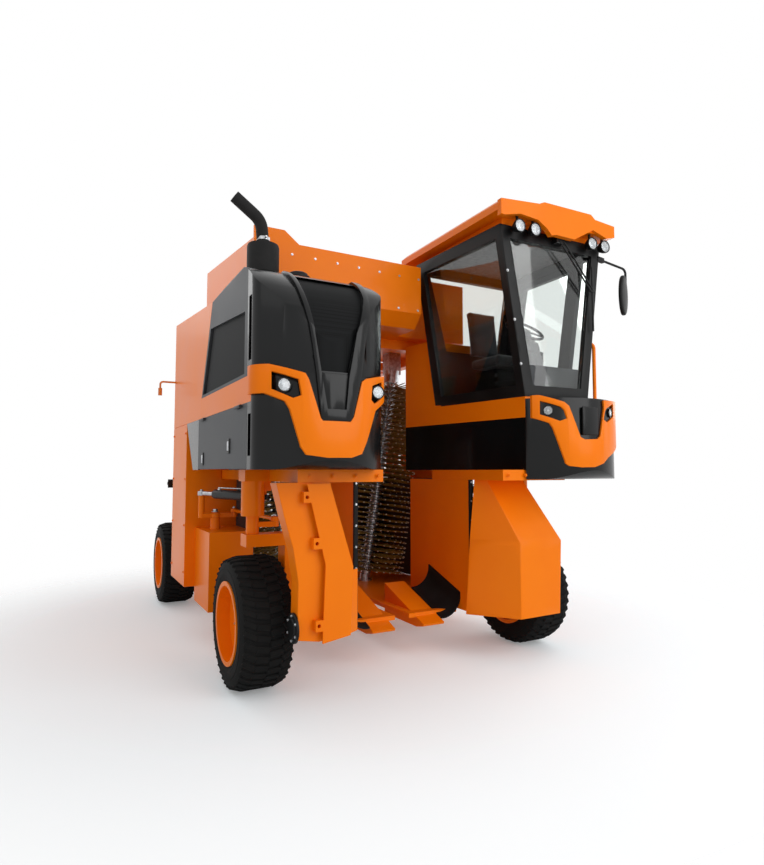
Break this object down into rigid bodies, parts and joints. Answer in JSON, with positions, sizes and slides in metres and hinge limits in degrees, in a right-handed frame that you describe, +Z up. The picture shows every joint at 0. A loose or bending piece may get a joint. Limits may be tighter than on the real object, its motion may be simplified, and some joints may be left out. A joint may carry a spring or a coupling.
{
  "type": "coffee harvester",
  "caption": "Self-propelled straddle harvester with an engine pod, a raised cab, leaning tined shaker rotors in a row tunnel, an open hopper and steered front wheels.",
  "frame": {"origin": "middle of the machine in plan, on the ground under the tyres", "axes": "+Y to the rear along the row, +X to the left of the machine, +Z up"},
  "size_m": [3.91, 5.5599, 3.997],
  "materials": {
    "orange_paint": "gloss enamel",
    "dark_panel": "gloss moulded panel",
    "grey_panel": "satin panel",
    "black_paint": "satin black",
    "black_mesh": "perforated mesh",
    "tyre_rubber": "moulded rubber",
    "rubber": "sheet rubber",
    "steel": "machined steel",
    "cast_iron": "painted casting",
    "lamp_lens": "clear lens",
    "cab_glass": "tinted safety glass",
    "tine_fibre": "glass fibre rods on a steel hub",
    "seat_cover": "woven cover",
    "amber_lamp": "amber lens"
  },
  "bodies": {
    "chassis": {"access_ladder": "orange_paint", "air_intake": "black_paint", "cab_base": "black_paint", "cab_controls": "black_paint", "cab_frame": "black_paint", "cab_glass": "cab_glass", "cab_roof": "orange_paint", "cab_sill": "orange_paint", "collector_trays": "orange_paint", "elevators": "orange_paint", "engine_block": "cast_iron", "engine_chin": "dark_panel", "engine_fascia": "orange_paint", "engine_hood": "dark_panel", "exhaust": "black_paint", "front_leg": "orange_paint", "grilles": "black_mesh", "hood_sides": "grey_panel", "hopper": "orange_paint", "lamps": "lamp_lens", "leg_cap": "black_paint", "leg_guard": "orange_paint", "main_frame": "orange_paint", "marker_lamp": "amber_lamp", "mirror": "black_paint", "rear_cabinet": "orange_paint", "rear_legs": "orange_paint", "rear_tanks": "orange_paint", "rotor_bearings": "steel", "rubber_aprons": "rubber", "seat": "seat_cover", "side_cases": "orange_paint", "steering_boxes": "orange_paint", "tunnel_walls": "orange_paint", "upper_housing": "orange_paint", "wheel_cover": "orange_paint", "wiper": "black_paint"},
    "wheel_front_left": {"tyre_front_left": "tyre_rubber", "rim_front_left": "orange_paint"},
    "wheel_front_right": {"tyre_front_right": "tyre_rubber", "rim_front_right": "orange_paint"},
    "wheel_rear_left": {"tyre_rear_left": "tyre_rubber", "rim_rear_left": "orange_paint"},
    "wheel_rear_right": {"tyre_rear_right": "tyre_rubber", "rim_rear_right": "orange_paint"},
    "knuckle_left": {"knuckle_left": "orange_paint"},
    "bell_crank_left": {"bell_crank_left": "orange_paint"},
    "drag_link_left": {"drag_link_left": "orange_paint"},
    "steering_barrel_left": {"steering_barrel_left": "black_paint"},
    "steering_rod_left": {"steering_rod_left": "steel"},
    "shaker_left": {"shaker_left": "tine_fibre"},
    "knuckle_right": {"knuckle_right": "orange_paint"},
    "bell_crank_right": {"bell_crank_right": "orange_paint"},
    "drag_link_right": {"drag_link_right": "orange_paint"},
    "steering_barrel_right": {"steering_barrel_right": "black_paint"},
    "steering_rod_right": {"steering_rod_right": "steel"},
    "shaker_right": {"shaker_right": "tine_fibre"},
    "cab_door": {"cab_door": "black_paint", "door_glass": "cab_glass"},
    "service_door": {"service_door": "grey_panel"}
  },
  "joints": [
    {"name": "spin_front_left", "type": "hinge", "parent": "knuckle_left", "child": "wheel_front_left", "pos_m": [1.175, -1.72, 0.5], "axis": [1, 0, 0], "continuous": true},
    {"name": "spin_front_right", "type": "hinge", "parent": "knuckle_right", "child": "wheel_front_right", "pos_m": [-1.525, -1.72, 0.5], "axis": [1, 0, 0], "continuous": true},
    {"name": "spin_rear_left", "type": "hinge", "parent": "chassis", "child": "wheel_rear_left", "pos_m": [1.175, 1.72, 0.5], "axis": [1, 0, 0], "continuous": true},
    {"name": "spin_rear_right", "type": "hinge", "parent": "chassis", "child": "wheel_rear_right", "pos_m": [-1.525, 1.72, 0.5], "axis": [1, 0, 0], "continuous": true},
    {"name": "steer_right", "type": "hinge", "parent": "chassis", "child": "knuckle_right", "pos_m": [-1.525, -1.72, 1.375], "axis": [0, 0, 1], "range_deg": [-25, 25]},
    {"name": "crank_right", "type": "hinge", "parent": "chassis", "child": "bell_crank_right", "pos_m": [-1.545, -0.55, 1.235], "axis": [0, 0, 1], "range_deg": [-26, 26]},
    {"name": "link_right", "type": "hinge", "parent": "knuckle_right", "child": "drag_link_right", "pos_m": [-1.345, -1.72, 1.275], "axis": [0, 0, 1], "range_deg": [-26, 26]},
    {"name": "barrel_right", "type": "hinge", "parent": "chassis", "child": "steering_barrel_right", "pos_m": [-1.395, -1.62, 1.445], "axis": [0, 0, 1], "range_deg": [-2, 2]},
    {"name": "rod_right", "type": "slide", "parent": "steering_barrel_right", "child": "steering_rod_right", "axis": [-0.2532, 0.9674, 0], "range_m": [-0.07, 0.07]},
    {"name": "shaker_spin_right", "type": "hinge", "parent": "chassis", "child": "shaker_right", "pos_m": [-0.655, -0.07, 0.475], "axis": [-0.1478, 0, 0.989], "continuous": true},
    {"name": "steer_left", "type": "hinge", "parent": "chassis", "child": "knuckle_left", "pos_m": [1.175, -1.72, 1.375], "axis": [0, 0, 1], "range_deg": [-25, 25]},
    {"name": "crank_left", "type": "hinge", "parent": "chassis", "child": "bell_crank_left", "pos_m": [1.195, -0.55, 1.235], "axis": [0, 0, 1], "range_deg": [-26, 26]},
    {"name": "link_left", "type": "hinge", "parent": "knuckle_left", "child": "drag_link_left", "pos_m": [0.995, -1.72, 1.275], "axis": [0, 0, 1], "range_deg": [-26, 26]},
    {"name": "barrel_left", "type": "hinge", "parent": "chassis", "child": "steering_barrel_left", "pos_m": [1.045, -1.62, 1.445], "axis": [0, 0, 1], "range_deg": [-2, 2]},
    {"name": "rod_left", "type": "slide", "parent": "steering_barrel_left", "child": "steering_rod_left", "axis": [0.2532, 0.9674, 0], "range_m": [-0.07, 0.07]},
    {"name": "shaker_spin_left", "type": "hinge", "parent": "chassis", "child": "shaker_left", "pos_m": [0.305, -0.07, 0.475], "axis": [0.1478, 0, 0.989], "continuous": true},
    {"name": "cab_door_swing", "type": "hinge", "parent": "chassis", "child": "cab_door", "pos_m": [1.36028, -2.1875, 2.41315], "axis": [-0.1679, 0, -0.9858], "range_deg": [0, 75]},
    {"name": "service_door_swing", "type": "hinge", "parent": "chassis", "child": "service_door", "pos_m": [-1.786, -1.635, 2.101], "axis": [0, 1, 0], "range_deg": [0, 80]}
  ],
  "couplings": [
    {"joint": "crank_right", "follows": "steer_right", "ratio": 1},
    {"joint": "link_right", "follows": "steer_right", "ratio": -1},
    {"joint": "barrel_right", "follows": "steer_right", "ratio": 0.02976},
    {"joint": "rod_right", "follows": "steer_right", "m_per_rad": -0.12577},
    {"joint": "steer_left", "follows": "steer_right", "ratio": 1},
    {"joint": "crank_left", "follows": "steer_right", "ratio": 1},
    {"joint": "link_left", "follows": "steer_right", "ratio": -1},
    {"joint": "barrel_left", "follows": "steer_right", "ratio": 0.02976},
    {"joint": "rod_left", "follows": "steer_right", "m_per_rad": 0.12577}
  ]
}
